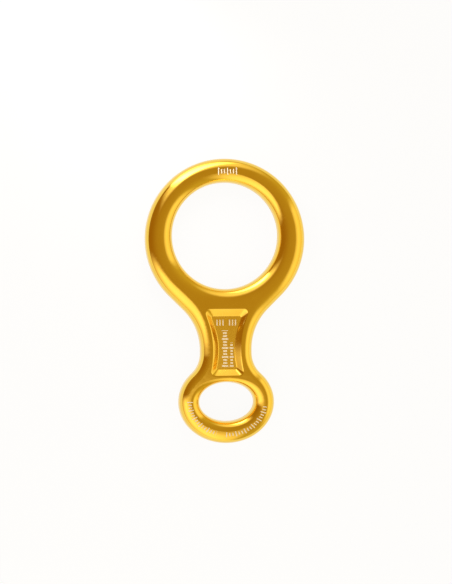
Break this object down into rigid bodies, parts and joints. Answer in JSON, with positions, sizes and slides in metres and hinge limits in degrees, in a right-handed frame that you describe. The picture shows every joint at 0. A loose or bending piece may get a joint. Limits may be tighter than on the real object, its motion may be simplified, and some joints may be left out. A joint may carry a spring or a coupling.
{
  "type": "figure eight descender",
  "caption": "Flat forged metal figure eight: a big round ring for a rope, a waist with a sunk panel in each face, and a small oval eye for a carabiner.",
  "frame": {"origin": "bottom centre of the bounding box: on the surface that the piece lies on, under the middle of its length and width", "axes": "+Y from the small eye towards the big ring, +Z through the thickness, up from the surface it lies on, +X to the right"},
  "size_m": [0.0688, 0.122, 0.0112],
  "materials": {
    "anodised_gold": "polished and anodised in clear amber gold"
  },
  "bodies": {
    "root": {"descender_body": "anodised_gold"}
  },
  "joints": []
}
